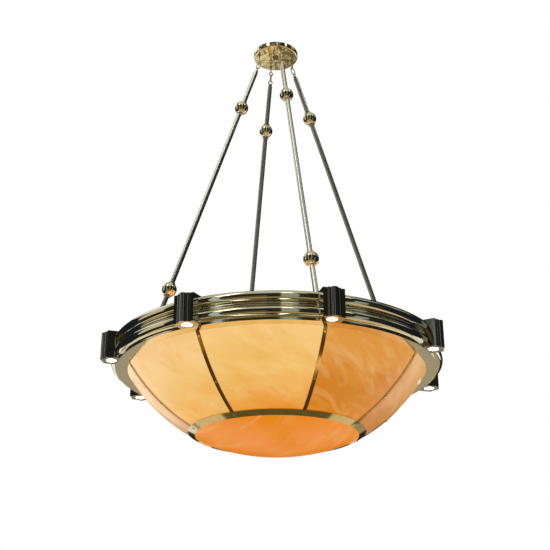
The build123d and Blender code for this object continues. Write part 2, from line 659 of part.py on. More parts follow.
DISC_TURN = JOINT_TURN - JOINT_HALF_TURN
with BuildPart() as disc:
    with BuildSketch(Plane.XZ):
        seat_out = on_sphere(BOWL_R, RING_INNER_R)
        seat_in = on_sphere(INNER_STONE_R, RING_INNER_R - STONE_THICK / 2)
        rim_out = along_sphere(BOWL_R, DISC_TURN)
        rim_in = along_sphere(INNER_STONE_R, DISC_TURN)
        bottom_z = seat_out[1] - DISC_CROWN
        crown_r = (RING_INNER_R**2 + DISC_CROWN**2) / (2 * DISC_CROWN)
        inner_crown = seat_in[1] - bottom_z - STONE_THICK
        inner_r = (seat_in[0] ** 2 + inner_crown**2) / (2 * inner_crown)
        half_out = RING_INNER_R / 2
        half_in = seat_in[0] / 2
        mid_out = (half_out, bottom_z + crown_r - sqrt(crown_r**2 - half_out**2))
        inner_low_z = bottom_z + STONE_THICK
        mid_in = (half_in, inner_low_z + inner_r - sqrt(inner_r**2 - half_in**2))
        with BuildLine():
            Line((0, inner_low_z), (0, bottom_z))
            ThreePointArc((0, bottom_z), mid_out, seat_out)
            sphere_arc(BOWL_R, seat_out, rim_out)
            Line(rim_out, rim_in)
            sphere_arc(INNER_STONE_R, rim_in, seat_in)
            ThreePointArc(seat_in, mid_in, (0, inner_low_z))
        make_face()
    revolve(axis=Axis.Z)
save(disc, "alabaster_disc")

OUTER_SEAT_R = BOWL_R + SEAT_GAP
RING_FACE_R = OUTER_SEAT_R + RING_THICK
INNER_SEAT_R = INNER_STONE_R - SEAT_GAP
SCREW_TURNS = [asin(r / BOWL_R) for r in RIB_SCREW_RS]


def clamp_holes(turns, sphere_radius, radius):
    """Holes square to the bowl at every rib, at the given turns from straight down."""
    for angle in BAY_ANGLES:
        for turn in turns:
            with Locations(bowl_normal(angle, sphere_radius * sin(turn), sphere_radius)):
                Cylinder(radius, 4 * RING_THICK, mode=Mode.SUBTRACT)


with BuildPart() as disc_ring:
    outer_turn = asin(RING_OUTER_R / OUTER_SEAT_R)
    inner_turn = asin(RING_INNER_R / OUTER_SEAT_R)
    with BuildSketch(Plane.XZ):
        with BuildLine():
            seat_start = along_sphere(OUTER_SEAT_R, inner_turn)
            seat_end = along_sphere(OUTER_SEAT_R, outer_turn)
            face_start = along_sphere(RING_FACE_R, inner_turn)
            face_end = along_sphere(RING_FACE_R, outer_turn)
            sphere_arc(OUTER_SEAT_R, seat_start, seat_end)
            Line(seat_end, face_end)
            sphere_arc(RING_FACE_R, face_end, face_start)
            Line(face_start, seat_start)
        make_face()
    revolve(axis=Axis.Z)
    clamp_holes([JOINT_TURN], RING_FACE_R, CLAMP_SCREW_DIA / 2 + BORE_GAP)
save(disc_ring, "disc_ring")

INNER_RING_FACE_R = INNER_SEAT_R - RING_THICK
INNER_RING_HALF_TURN = INNER_RING_WIDTH / 2 / INNER_SEAT_R
with BuildPart() as inner_ring:
    with BuildSketch(Plane.XZ):
        with BuildLine():
            low = JOINT_TURN - INNER_RING_HALF_TURN
            high = JOINT_TURN + INNER_RING_HALF_TURN
            seat_start = along_sphere(INNER_SEAT_R, low)
            seat_end = along_sphere(INNER_SEAT_R, high)
            face_start = along_sphere(INNER_RING_FACE_R, low)
            face_end = along_sphere(INNER_RING_FACE_R, high)
            sphere_arc(INNER_SEAT_R, seat_start, seat_end)
            Line(seat_end, face_end)
            sphere_arc(INNER_RING_FACE_R, face_end, face_start)
            Line(face_start, seat_start)
        make_face()
    revolve(axis=Axis.Z)
    clamp_holes([JOINT_TURN], INNER_SEAT_R, CLAMP_SCREW_DIA / 2 + THREAD_GAP)
save(inner_ring, "inner_ring")


def rib_strips(section, width):
    """A strip on each panel joint, cut from a spherical shell."""
    revolve(section.sketch, axis=Axis.Z)
    with BuildSketch(Plane.XY.offset(RIM_Z - BOWL_R)) as strips:
        with PolarLocations(BOWL_R, BAY_COUNT):
            Rectangle(2 * BOWL_R - 2 * width, width)
    extrude(strips.sketch, amount=2 * BOWL_R, mode=Mode.INTERSECT)


RIB_FACE_R = OUTER_SEAT_R + RIB_THICK
with BuildPart() as bowl_ribs:
    rib_low = asin(RING_OUTER_R / OUTER_SEAT_R) + SEAT_GAP / BOWL_R
    rib_section = shell_section(OUTER_SEAT_R, RIB_FACE_R, RIM_Z, rib_low)
    rib_strips(rib_section, RIB_WIDTH)
    clamp_holes(SCREW_TURNS, RIB_FACE_R, CLAMP_SCREW_DIA / 2 + BORE_GAP)
save(bowl_ribs, "bowl_ribs")

with BuildPart() as inner_ribs:
    inner_low = JOINT_TURN + INNER_RING_HALF_TURN + SEAT_GAP / BOWL_R
    face_r = INNER_SEAT_R - INNER_RIB_THICK
    inner_section = shell_section(face_r, INNER_SEAT_R, PANEL_TOP_Z, inner_low)
    rib_strips(inner_section, INNER_RIB_WIDTH)
    clamp_holes(SCREW_TURNS, INNER_SEAT_R, CLAMP_SCREW_DIA / 2 + THREAD_GAP)
save(inner_ribs, "inner_ribs")


def clamp_screws(turns, face_radius, grip):
    """Domed screws square to the bowl at every rib, heads outside."""
    for angle in BAY_ANGLES:
        for turn in turns:
            face_plane = bowl_normal(angle, face_radius * sin(turn), face_radius)
            with BuildSketch(face_plane) as shank:
                Circle(CLAMP_SCREW_DIA / 2)
            extrude(shank.sketch, amount=-grip)
            with BuildSketch(face_plane) as head:
                Circle(CLAMP_HEAD_DIA / 2)
            extrude(head.sketch, amount=CLAMP_HEAD_THICK, taper=CLAMP_HEAD_TAPER)


CLAMP_GRIP = STONE_THICK + 2 * SEAT_GAP
with BuildPart() as bowl_screws:
    clamp_screws(SCREW_TURNS, RIB_FACE_R, RIB_THICK + CLAMP_GRIP + INNER_RIB_THICK)
    clamp_screws([JOINT_TURN], RING_FACE_R, RING_THICK + CLAMP_GRIP + RING_THICK)
save(bowl_screws, "bowl_screws")

# ======================================================================== lamp housings
HOUSING_BACK_R = HOOP_OUTER_R + SEAT_GAP
HOUSING_TOP_Z = RIM_Z + HOUSING_HEIGHT
CAP_BOTTOM_Z = HOUSING_TOP_Z - HOUSING_CAP_THICK


def housing_outline(angle, height):
    """Plan of a housing: flat wings, a slim reed each side and a half column."""
    with BuildSketch(plan_plane(angle, height)) as outline:
        with Locations((HOUSING_FACE_R, 0)):
            Rectangle(
                HOUSING_FACE_R - HOOP_INNER_R,
                HOUSING_WIDTH,
                align=(Align.MAX, Align.CENTER),
            )
        with Locations((REED_CENTRE_R, REED_OFFSET), (REED_CENTRE_R, -REED_OFFSET)):
            Circle(REED_R)
        with Locations((COLUMN_CENTRE_R, 0)):
            Circle(COLUMN_R)
    return outline


def cut_back(radius, low_z, high_z):
    """Clears everything inside a radius between two heights."""
    with BuildSketch(Plane.XY.offset(low_z)) as disk:
        Circle(radius)
    extrude(disk.sketch, amount=high_z - low_z, mode=Mode.SUBTRACT)


def make_housing(angle):
    """Upright lamp housing across the band, bored from end to end for its lamp."""
    with BuildPart() as housing:
        outline = housing_outline(angle, RIM_Z)
        extrude(outline.sketch, amount=CAP_BOTTOM_Z - RIM_Z)
        cut_back(HOUSING_BACK_R, RIM_Z, HOUSING_TOP_Z)
        cut_back(RIM_OUTER_R + SEAT_GAP, RIM_Z, RIM_TOP_Z)
        with BuildSketch(upright(angle, LAMP_CENTRE_R, RIM_Z)):
            Circle(LAMP_BORE_DIA / 2)
        extrude(amount=HOUSING_HEIGHT, mode=Mode.SUBTRACT)
        with Locations(*bay_screw_planes(angle, HOOP_OUTER_R)):
            Cylinder(BAY_SCREW_DIA / 2 + THREAD_GAP, 2 * BAY_SCREW_GRIP, mode=Mode.SUBTRACT)
    return housing


for number, angle in enumerate(BAY_ANGLES, start=1):
    save(make_housing(angle), f"lamp_housing_{number}")

with BuildPart() as housing_caps:
    for angle in BAY_ANGLES:
        outline = housing_outline(angle, CAP_BOTTOM_Z)
        extrude(outline.sketch, amount=HOUSING_CAP_THICK)
    cut_back(HOUSING_BACK_R, CAP_BOTTOM_Z, HOUSING_TOP_Z)
save(housing_caps, "housing_caps")

LENS_Z = RIM_Z + SPOT_RECESS
SPOT_TOP_Z = LENS_Z + SPOT_LAMP_LENGTH
with BuildPart() as spot_lamps:
    for angle in BAY_ANGLES:
        with BuildSketch(upright(angle, LAMP_CENTRE_R, LENS_Z)):
            Circle(SPOT_LAMP_DIA / 2)
        extrude(amount=SPOT_RIM_HEIGHT)
        with BuildSketch(upright(angle, LAMP_CENTRE_R, LENS_Z + SPOT_RIM_HEIGHT)):
            Circle(SPOT_LAMP_DIA / 2)
        with BuildSketch(upright(angle, LAMP_CENTRE_R, LENS_Z + SPOT_CONE_TOP)):
            Circle(SPOT_LAMP_NECK_DIA / 2)
        loft()
        with BuildSketch(upright(angle, LAMP_CENTRE_R, LENS_Z + SPOT_CONE_TOP)):
            Circle(SPOT_LAMP_NECK_DIA / 2)
        extrude(amount=SPOT_LAMP_LENGTH - SPOT_CONE_TOP)
save(spot_lamps, "spot_lamps")

with BuildPart() as spot_bezels:
    for angle in BAY_ANGLES:
        with BuildSketch(upright(angle, LAMP_CENTRE_R, LENS_Z - BEZEL_THICK)):
            Circle(LAMP_BORE_DIA / 2 - BORE_GAP)
            Circle(BEZEL_OPENING_DIA / 2, mode=Mode.SUBTRACT)
        extrude(amount=BEZEL_THICK)
save(spot_bezels, "spot_bezels")

with BuildPart() as spot_sockets:
    for angle in BAY_ANGLES:
        with BuildSketch(upright(angle, LAMP_CENTRE_R, CAP_BOTTOM_Z)):
            Circle(LAMP_BORE_DIA / 2 - BORE_GAP)
        extrude(amount=-(CAP_BOTTOM_Z - SPOT_TOP_Z))
        with BuildSketch(upright(angle, LAMP_CENTRE_R, SPOT_TOP_Z)):
            Circle(LAMP_BORE_DIA / 2 - BORE_GAP)
            Circle(SPOT_LAMP_NECK_DIA / 2 + BORE_GAP, mode=Mode.SUBTRACT)
        extrude(amount=-SOCKET_GRIP)
save(spot_sockets, "spot_sockets")

# ================================================================== lamps over the bowl
ARM_TOP_Z = RIM_TOP_Z + LAMP_ARM_THICK
with BuildPart() as lamp_arms:
    with BuildSketch(Plane.XY.offset(RIM_TOP_Z)):
        Circle(LAMP_HUB_DIA / 2)
        with PolarLocations(0, LEG_COUNT):
            Rectangle(LAMP_ARM_TIP_R, LAMP_ARM_WIDTH, align=(Align.MIN, Align.CENTER))
        with PolarLocations(ARM_SCREW_R, LEG_COUNT):
            Circle(ARM_SCREW_DIA / 2 + BORE_GAP, mode=Mode.SUBTRACT)
    extrude(amount=LAMP_ARM_THICK)
save(lamp_arms, "lamp_arms")

HEAD_SAG = SEAT_GAP / 2          # keeps a flat head off a hollow cylinder
with BuildPart() as frame_screws:
    for angle in BAY_ANGLES:
        under_head = LUG_INNER_R if angle in LEG_ANGLES else HOOP_INNER_R
        under_head = under_head - HEAD_SAG
        for place in bay_screw_planes(angle, under_head):
            with BuildSketch(place):
                Circle(BAY_SCREW_DIA / 2)
            extrude(amount=HOOP_OUTER_R + BAY_SCREW_GRIP - HEAD_SAG - under_head)
            with BuildSketch(place):
                Circle(BAY_SCREW_HEAD_DIA / 2)
            extrude(amount=-BAY_SCREW_HEAD_THICK)
    for angle in LAMP_ARM_ANGLES:
        with BuildSketch(upright(angle, ARM_SCREW_R, ARM_TOP_Z)):
            Circle(ARM_SCREW_HEAD_DIA / 2)
        extrude(amount=ARM_SCREW_HEAD_THICK)
        with BuildSketch(upright(angle, ARM_SCREW_R, ARM_TOP_Z)):
            Circle(ARM_SCREW_DIA / 2)
        extrude(amount=-LAMP_ARM_THICK - RIM_THICK + SEAT_GAP)
save(frame_screws, "frame_screws")

with BuildPart() as wiring_cup:
    with BuildSketch(Plane.XY.offset(ARM_TOP_Z)):
        Circle(WIRING_CUP_DIA / 2)
    extrude(amount=WIRING_CUP_HEIGHT)
    with BuildSketch(Plane.XY.offset(ARM_TOP_Z)):
        Circle(WIRING_CUP_DIA / 2 - WIRING_CUP_WALL)
    extrude(amount=WIRING_CUP_HEIGHT - WIRING_CUP_WALL, mode=Mode.SUBTRACT)
save(wiring_cup, "wiring_cup")

HOLDER_LOW_Z = RIM_TOP_Z - LAMPHOLDER_HEIGHT
BULB_TOP_Z = HOLDER_LOW_Z + BULB_BASE_LENGTH
BULB_LOW_Z = BULB_TOP_Z - BULB_LENGTH
with BuildPart() as lampholders:
    for angle in LAMP_ARM_ANGLES:
        with BuildSketch(upright(angle, BOWL_LAMP_R, HOLDER_LOW_Z)):
            Circle(LAMPHOLDER_DIA / 2)
        extrude(amount=LAMPHOLDER_HEIGHT)
        with BuildSketch(upright(angle, BOWL_LAMP_R, HOLDER_LOW_Z)):
            Circle(LAMPHOLDER_BORE_DIA / 2)
        extrude(amount=BULB_BASE_LENGTH, mode=Mode.SUBTRACT)
save(lampholders, "lampholders")

neck_rise = BULB_DIA / 2 * sin(radians(BULB_NECK_TURN))
neck_r = BULB_DIA / 2 * cos(radians(BULB_NECK_TURN))
with BuildPart() as bulbs:
    for angle in LAMP_ARM_ANGLES:
        globe_z = BULB_LOW_Z + BULB_DIA / 2
        with Locations(upright(angle, BOWL_LAMP_R, globe_z)):
            Sphere(BULB_DIA / 2)
        with BuildSketch(upright(angle, BOWL_LAMP_R, globe_z + neck_rise)):
            Circle(neck_r)
        with BuildSketch(upright(angle, BOWL_LAMP_R, HOLDER_LOW_Z)):
            Circle(BULB_BASE_DIA / 2)
        loft()
        with BuildSketch(upright(angle, BOWL_LAMP_R, HOLDER_LOW_Z)):
            Circle(BULB_BASE_DIA / 2)
        extrude(amount=BULB_BASE_LENGTH)
save(bulbs, "bowl_bulbs")

print("sway centre above the ceiling", APEX_Z)
print("leg pivot", EYE_PITCH_R, PIVOT_Z, "lug pin", LUG_PIN_R, LUG_PIN_Z)
print("leg turn for each degree of the bowl", (APEX_Z - LUG_PIN_Z) / (PIVOT_Z - LUG_PIN_Z))
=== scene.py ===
# %% [markdown]
# # Alabaster bowl pendant
# A wide bowl of alabaster panels hangs in a reeded brass band from four long brass rods.
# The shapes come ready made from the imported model. This file gives them their finishes,
# swaps the bulbs for smooth turned ones, and sets up the light and the camera.
# Everything is in metres. The origin is the centre of the ceiling face, and +Z is up.

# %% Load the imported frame
import math

import bmesh
import bpy
from mathutils import Matrix, Vector


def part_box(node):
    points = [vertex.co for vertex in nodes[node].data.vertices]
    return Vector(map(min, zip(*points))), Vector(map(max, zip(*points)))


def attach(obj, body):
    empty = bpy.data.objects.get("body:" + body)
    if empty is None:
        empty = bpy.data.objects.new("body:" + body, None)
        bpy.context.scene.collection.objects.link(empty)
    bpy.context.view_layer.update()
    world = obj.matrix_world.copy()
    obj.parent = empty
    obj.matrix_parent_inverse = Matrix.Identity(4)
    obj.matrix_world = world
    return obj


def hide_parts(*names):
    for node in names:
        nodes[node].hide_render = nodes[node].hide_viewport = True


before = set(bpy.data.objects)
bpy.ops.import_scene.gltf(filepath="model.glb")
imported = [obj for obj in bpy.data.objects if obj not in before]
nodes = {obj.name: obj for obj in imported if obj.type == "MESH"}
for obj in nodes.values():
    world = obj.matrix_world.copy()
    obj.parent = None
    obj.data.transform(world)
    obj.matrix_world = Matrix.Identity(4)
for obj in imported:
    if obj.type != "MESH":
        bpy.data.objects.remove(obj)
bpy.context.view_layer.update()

# %% [markdown]
# Two heights are needed again and again: the rim plate's underside, and the lowest place on
# the bowl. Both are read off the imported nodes, so they follow the model when it changes.

# %% Heights read off the frame
RIM_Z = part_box("rim_plate")[0].z
BOWL_BOTTOM_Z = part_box("alabaster_disc")[0].z
print("rim", round(RIM_Z, 4), "bottom", round(BOWL_BOTTOM_Z, 4))

# %% [markdown]
# Every finish below is built from the same few shader nodes, so a small helper keeps the
# code short: it adds a node, sets its sockets by name, and links what is passed as a link.


# %% Helpers for node materials
class Shader:
    """A material or world under construction."""

    def __init__(self, owner):
        owner.use_nodes = True
        self.tree = owner.node_tree
        self.tree.nodes.clear()

    def add(self, kind, sockets=None, **settings):
        """Adds a node. A socket's value is a number, a colour or another node's output."""
        node = self.tree.nodes.new(kind)
        for key, value in settings.items():
            setattr(node, key, value)
        for key, value in (sockets or {}).items():
            if isinstance(value, bpy.types.NodeSocket):
                self.tree.links.new(value, node.inputs[key])
            else:
                node.inputs[key].default_value = value
        return node

    def noise(self, where, scale, detail=4.0, rough=0.5, stretch=None, distort=0.0):
        """Cloudy grey from 0 to 1 in the object's own space."""
        if stretch:
            where = self.add("ShaderNodeMapping", {"Vector": where, "Scale": stretch}).outputs[0]
        return self.add("ShaderNodeTexNoise", {
            "Vector": where, "Scale": scale, "Detail": detail, "Roughness": rough, "Distortion": distort,
        }).outputs[0]

    def spread(self, value, from_low, from_high, to_low, to_high):
        """Stretches a grey value from one range to another."""
        return self.add("ShaderNodeMapRange", {
            "Value": value, "From Min": from_low, "From Max": from_high, "To Min": to_low, "To Max": to_high,
        }).outputs[0]

    def math(self, kind, first, second=0.0):
        return self.add("ShaderNodeMath", {0: first, 1: second}, operation=kind).outputs[0]

    def grey(self, value):
        """One grey value as a colour."""
        return self.add("ShaderNodeCombineColor", {0: value, 1: value, 2: value}).outputs[0]

    def mix(self, factor, first, second, blend="MIX"):
        """Mixes two colours."""
        node = self.tree.nodes.new("ShaderNodeMix")
        node.data_type = "RGBA"
        node.blend_type = blend
        for slot, value in ((0, factor), (6, first), (7, second)):
            if isinstance(value, bpy.types.NodeSocket):
                self.tree.links.new(value, node.inputs[slot])
            else:
                node.inputs[slot].default_value = value
        return node.outputs[2]

    def ramp(self, value, stops):
        """Turns a grey value into a colour through stops of (place, colour)."""
        node = self.add("ShaderNodeValToRGB", {"Fac": value})
        marks = node.color_ramp.elements
        while len(marks) < len(stops):
            marks.new(0.5)
        for mark, (place, colour) in zip(marks, stops):
            mark.position = place
            mark.color = colour
        return node.outputs[0]

    def bump(self, height, distance, strength=1.0):
        """Small relief of the given depth in metres, made from a grey value."""
        sockets = {"Height": height, "Distance": distance, "Strength": strength}
        return self.add("ShaderNodeBump", sockets).outputs[0]

    def finish(self, shader):
        self.add("ShaderNodeOutputMaterial", {"Surface": shader.outputs[0]})


def material(name):
    made = bpy.data.materials.new(name)
    return made, Shader(made)


def linear(red, green, blue):
    """A colour as it looks on screen, 0 to 255, in the linear numbers that shaders use."""
    parts = []
    for value in (red, green, blue):
        value = value / 255
        parts.append(value / 12.92 if value <= 0.04045 else ((value + 0.055) / 1.055) ** 2.4)
    return (*parts, 1.0)


print("helpers ready; mid grey is", round(linear(128, 128, 128)[0], 3))

# %% [markdown]
# ## Brass
# The metal is polished brass under lacquer. What makes it look real is not the colour but
# what it mirrors, plus three small faults: broad uneven polish that bends reflections a
# little, wiping marks that vary the gloss, and a faint brown cast where hands and cloths
# reach less. One function makes all the brass. Its arguments say how bright, how glossy and
# how brown each piece is, how deep its waves are in metres, and how many waves and wiping
# marks go to a metre. The thin canopy sheet is the most wavy, and the drawn rods are straight.


# %% Brass recipe
LACQUER = 0.15
LACQUER_ROUGHNESS = 0.04
OLD_BRASS = linear(150, 112, 62)


def brass(name, tone, gloss, brown=0.25, wave=0.00006, tarnish=OLD_BRASS, wiping=260.0, swell=24.0):
    made, s = material(name)
    where = s.add("ShaderNodeTexCoord").outputs["Object"]
    clouds = s.noise(where, 9.0, detail=4.0, rough=0.55)
    wipes = s.noise(where, wiping, detail=3.0, rough=0.6)
    patches = s.noise(where, 48.0, detail=6.0, rough=0.65, distort=0.6)
    colour = s.mix(s.spread(patches, 0.48, 0.78, 0.0, brown), tone, tarnish)
    colour = s.mix(1.0, colour, s.grey(s.spread(clouds, 0.3, 0.7, 0.93, 1.05)), "MULTIPLY")
    wiped = s.spread(wipes, 0.3, 0.7, gloss * 0.85, gloss * 1.2)
    rough = s.math("ADD", wiped, s.spread(patches, 0.45, 0.85, 0.0, 0.04))
    sockets = {
        "Base Color": colour, "Metallic": 1.0, "Roughness": rough,
        "Coat Weight": LACQUER, "Coat Roughness": LACQUER_ROUGHNESS,
    }
    if wave:
        sockets["Normal"] = s.bump(s.noise(where, swell, detail=2.0, rough=0.5), wave)
    shader = s.add("ShaderNodeBsdfPrincipled", sockets)
    s.finish(shader)
    return made


PALE = linear(240, 230, 196)
GOLD = linear(228, 200, 134)
ROD_BRASS = brass("Brass.Rod", linear(240, 234, 212), 0.14, brown=0.06, wave=0.0, wiping=12.0)
BALL_BRASS = brass("Brass.Ball", linear(240, 228, 190), 0.08, brown=0.10, wave=0.0, wiping=80.0)
CANOPY_BRASS = brass("Brass.Canopy", linear(248, 232, 180), 0.07, brown=0.12, wave=0.0006, swell=44.0)
BAND_BRASS = brass("Brass.Band", PALE, 0.06, brown=0.18, wave=0.00012)
RIM_BRASS = brass("Brass.Rim", PALE, 0.12, brown=0.2)
# Painted shade: the housings get a darker copy of the band's brass, so that they look dark.
HOUSING_BRASS_PAINTED_SHADE = brass("Brass.Housing.PaintedShade", linear(186, 182, 164), 0.06, brown=0.15)
RIB_BRASS = brass("Brass.Rib", linear(186, 138, 68), 0.13, brown=0.6, tarnish=linear(84, 54, 22))
RING_BRASS = brass("Brass.Ring", linear(228, 200, 138), 0.10, brown=0.4, tarnish=linear(110, 78, 36))
INNER_BRASS = brass("Brass.Inner", GOLD, 0.28, brown=0.4)
print("brass finishes:", sum(made.name.startswith("Brass") for made in bpy.data.materials))

# %% [markdown]
# ## Alabaster
# Alabaster is a soft stone that lets light through. Lit from inside, it is palest near the
# rim, where the wall is seen almost face on to the lamps, and deepens to orange where more
# stone is in the way. Soft cloudy veins drift across each slab in its own direction. The
# glow is made with emission whose colour follows the height on the bowl, the clouds and
# the veins. A thin polish over it catches the room at a slant.


# %% Alabaster recipe
def streak_turn(bay_angle, climb):
    """Turn that lays the X of a texture along streaks that climb across a slab."""
    a = math.radians(bay_angle)
    c = math.radians(climb)
    outward = Vector((math.cos(a), math.sin(a), 0))
    sideways = Vector((-math.sin(a), math.cos(a), 0))
    along = sideways * math.cos(c) + Vector((0, 0, 1)) * math.sin(c)
    third = along.cross(outward)
    return Matrix((along, third, outward)).to_euler()


GLOW = 0.9
PALE_VEIN = linear(250, 222, 170)
ORANGE_SMUDGE = linear(222, 118, 44)
UNLIT_STONE = linear(88, 52, 18)


def alabaster(name, seed, turn, stops):
    made, s = material(name)
    here = s.add("ShaderNodeTexCoord").outputs["Object"]
    moved = s.add("ShaderNodeMapping", {"Vector": here, "Location": seed, "Rotation": turn}).outputs[0]
    clouds = s.noise(moved, 5.0, detail=3.0, rough=0.5, stretch=(0.7, 1.5, 1.0), distort=0.5)
    drifts = s.noise(moved, 13.0, detail=4.0, rough=0.55, stretch=(0.35, 1.6, 1.0), distort=0.9)
    wisps = s.noise(moved, 22.0, detail=5.0, rough=0.6, stretch=(0.22, 1.3, 1.0), distort=0.8)
    smears = s.noise(moved, 16.0, detail=4.0, rough=0.6, stretch=(0.5, 1.4, 1.0), distort=1.6)
    smudge = s.spread(smears, 0.58, 0.74, 0.0, 1.0)
    height = s.add("ShaderNodeSeparateXYZ", {0: here}).outputs[2]
    rise = s.spread(height, BOWL_BOTTOM_Z, RIM_Z, 0.0, 1.0)
    wander = s.math("MULTIPLY", s.math("SUBTRACT", clouds, 0.5), 0.9)
    wander = s.math("ADD", wander, s.math("MULTIPLY", s.math("SUBTRACT", drifts, 0.5), 0.85))
    colour = s.ramp(s.math("ADD", rise, wander), stops)
    pale = s.math("MULTIPLY", s.spread(wisps, 0.5, 0.75, 0.0, 0.3), s.spread(clouds, 0.4, 0.6, 0.3, 1.0))
    colour = s.mix(pale, colour, PALE_VEIN)
    colour = s.mix(s.math("MULTIPLY", smudge, 0.32), colour, ORANGE_SMUDGE)
    shader = s.add("ShaderNodeBsdfPrincipled", {
        "Base Color": s.mix(0.85, colour, UNLIT_STONE),
        "Roughness": s.spread(wisps, 0.3, 0.7, 0.26, 0.36), "Normal": s.bump(wisps, 0.0003, 0.2),
        "Specular IOR Level": 0.25, "Coat Weight": 0.12, "Coat Roughness": 0.08,
        # The emission is painted glow: the bulbs' light shining through the stone.
        "Emission Color": colour, "Emission Strength": GLOW,
    })
    s.finish(shader)
    return made


print("stone recipe ready; glow", GLOW)

# %% [markdown]
# Each kind of slab is a list of colours for its painted glow, from the lowest place on the bowl
# to the rim, some paler and some deeper. Each slab also gets its own start in the clouds and its
# own slant of streak. Slab 1 stands just past +X and the numbers go round towards +Y.


# %% Stone slabs
SLAB_PLACES = (0.05, 0.35, 0.65, 0.95)
DISC_PLACES = (0.0, 0.45, 0.8, 1.0)
BAY_TURN = 45


def tones(places, *colours):
    """Ramp stops from places between 0 and 1 and screen colours."""
    return [(place, linear(*colour)) for place, colour in zip(places, colours)]


WARM = tones(SLAB_PLACES, (232, 136, 34), (236, 158, 60), (234, 176, 84), (242, 194, 106))
LIGHT = tones(SLAB_PLACES, (232, 156, 66), (238, 180, 92), (238, 194, 116), (248, 204, 140))
DEEP = tones(SLAB_PLACES, (232, 140, 14), (212, 126, 14), (202, 124, 28), (216, 146, 60))
HONEY = tones(SLAB_PLACES, (232, 148, 50), (236, 168, 76), (237, 190, 106), (246, 202, 130))
AMBER = tones(SLAB_PLACES, (196, 122, 54), (198, 128, 60), (206, 144, 76), (216, 166, 100))
ROSY = tones(SLAB_PLACES, (196, 136, 80), (208, 154, 98), (230, 184, 124), (242, 202, 138))
DISC_GLOW_TONES = tones(DISC_PLACES, (230, 128, 0), (232, 138, 0), (236, 156, 30), (238, 164, 50))
# Painted glow colours, paler on some slabs and deeper on others.
SLAB_GLOW_TONES = (AMBER, WARM, LIGHT, WARM, ROSY, LIGHT, HONEY, DEEP)

panel_stone = []
for number, stops in enumerate(SLAB_GLOW_TONES):
    seed = (1.7 * number + 0.6, 0.9 * number, 2.3 * number)
    turn = streak_turn(BAY_TURN * (number + 0.5), 24 + 7 * (number % 3))
    panel_stone.append(alabaster(f"Alabaster.Panel.{number + 1}", seed, turn, stops))
DISC_STONE = alabaster("Alabaster.Disc", (4.0, 7.0, 1.0), (0.0, 0.0, 0.6), DISC_GLOW_TONES)
print("stone slabs:", len(panel_stone) + 1)

# %% [markdown]
# ## Lamps
# The frosted bulbs and the small spot lamps are simply bright, with a faint unevenness in
# the frosting. The spot lamps are brighter, because one looks straight into them.


# %% Glowing glass
def glowing(name, colour, strength):
    made, s = material(name)
    where = s.add("ShaderNodeTexCoord").outputs["Object"]
    frost = s.spread(s.noise(where, 300.0, detail=3.0), 0.3, 0.7, 0.94, 1.0)
    frosted = s.mix(frost, linear(255, 220, 160), colour)
    shader = s.add("ShaderNodeBsdfPrincipled", {
        "Base Color": frosted, "Roughness": 0.35,
        "Emission Color": frosted, "Emission Strength": strength,
    })
    s.finish(shader)
    return made


BULB_GLASS = glowing("Glass.Bulb", linear(255, 236, 205), 4.0)
SPOT_GLASS = glowing("Glass.Spot", linear(255, 252, 244), 9.0)
print("lamp glass:", BULB_GLASS.name, SPOT_GLASS.name)

# %% [markdown]
# ## Sockets and hidden hardware
# The lampholders are pale heat-proof ware, and the hardware out of sight is zinc plated
# steel with its cloudy bloom. Both are dull and slightly gritty, so one recipe makes them.


# %% Plated steel and heat-proof ware
ZINC_BLOOM = linear(120, 116, 108)


def dull_ware(name, colour, metal, rough, cloud):
    made, s = material(name)
    where = s.add("ShaderNodeTexCoord").outputs["Object"]
    bloom = s.noise(where, 90.0, detail=5.0, rough=0.6)
    grit = s.noise(where, 900.0, detail=2.0, rough=0.5)
    shader = s.add("ShaderNodeBsdfPrincipled", {
        "Base Color": s.mix(s.spread(bloom, 0.3, 0.7, 0.0, cloud), colour, ZINC_BLOOM),
        "Metallic": metal, "Roughness": s.spread(bloom, 0.3, 0.7, rough * 0.85, rough * 1.2),
        "Normal": s.bump(grit, 0.00003, 0.5),
    })
    s.finish(shader)
    return made


PLATED_STEEL = dull_ware("Steel.Plated", linear(200, 199, 194), metal=0.45, rough=0.36, cloud=0.35)
LAMPHOLDER_WARE = dull_ware("Ware.Lampholder", linear(236, 232, 222), metal=0.0, rough=0.42, cloud=0.12)
print("materials:", len(bpy.data.materials))

# %% [markdown]
# Each node of the frame now gets its finish. Pieces that come once are listed by name, and
# pieces that come in numbered sets by the start of their name. Each panel has its own stone.

# %% Finishes on the frame's nodes
FINISH = {
    "crossbar": PLATED_STEEL, "hanger_plate": PLATED_STEEL, "canopy_nuts": PLATED_STEEL,
    "threaded_nipple": PLATED_STEEL, "frame_screws": PLATED_STEEL, "lug_pins": PLATED_STEEL,
    "lamp_arms": PLATED_STEEL, "wiring_cup": PLATED_STEEL, "lampholders": LAMPHOLDER_WARE,
    "spot_sockets": LAMPHOLDER_WARE, "bowl_bulbs": BULB_GLASS, "spot_lamps": SPOT_GLASS,
    "canopy": CANOPY_BRASS, "canopy_cap_nut": BALL_BRASS, "canopy_eyes": BALL_BRASS,
    "reeded_band_segments": BAND_BRASS, "rim_plate": RIM_BRASS, "inner_hoop": INNER_BRASS,
    "rod_lugs": INNER_BRASS, "inner_ribs": INNER_BRASS, "inner_ring": INNER_BRASS,
    "bowl_ribs": RIB_BRASS, "disc_ring": RING_BRASS, "bowl_screws": BALL_BRASS,
    "housing_caps": HOUSING_BRASS_PAINTED_SHADE, "spot_bezels": BALL_BRASS, "alabaster_disc": DISC_STONE,
}
STARTS = {
    "link_": BALL_BRASS, "rod_ends_": BALL_BRASS, "rod_tubes_": ROD_BRASS,
    "rod_balls_": BALL_BRASS, "lamp_housing_": HOUSING_BRASS_PAINTED_SHADE,
}
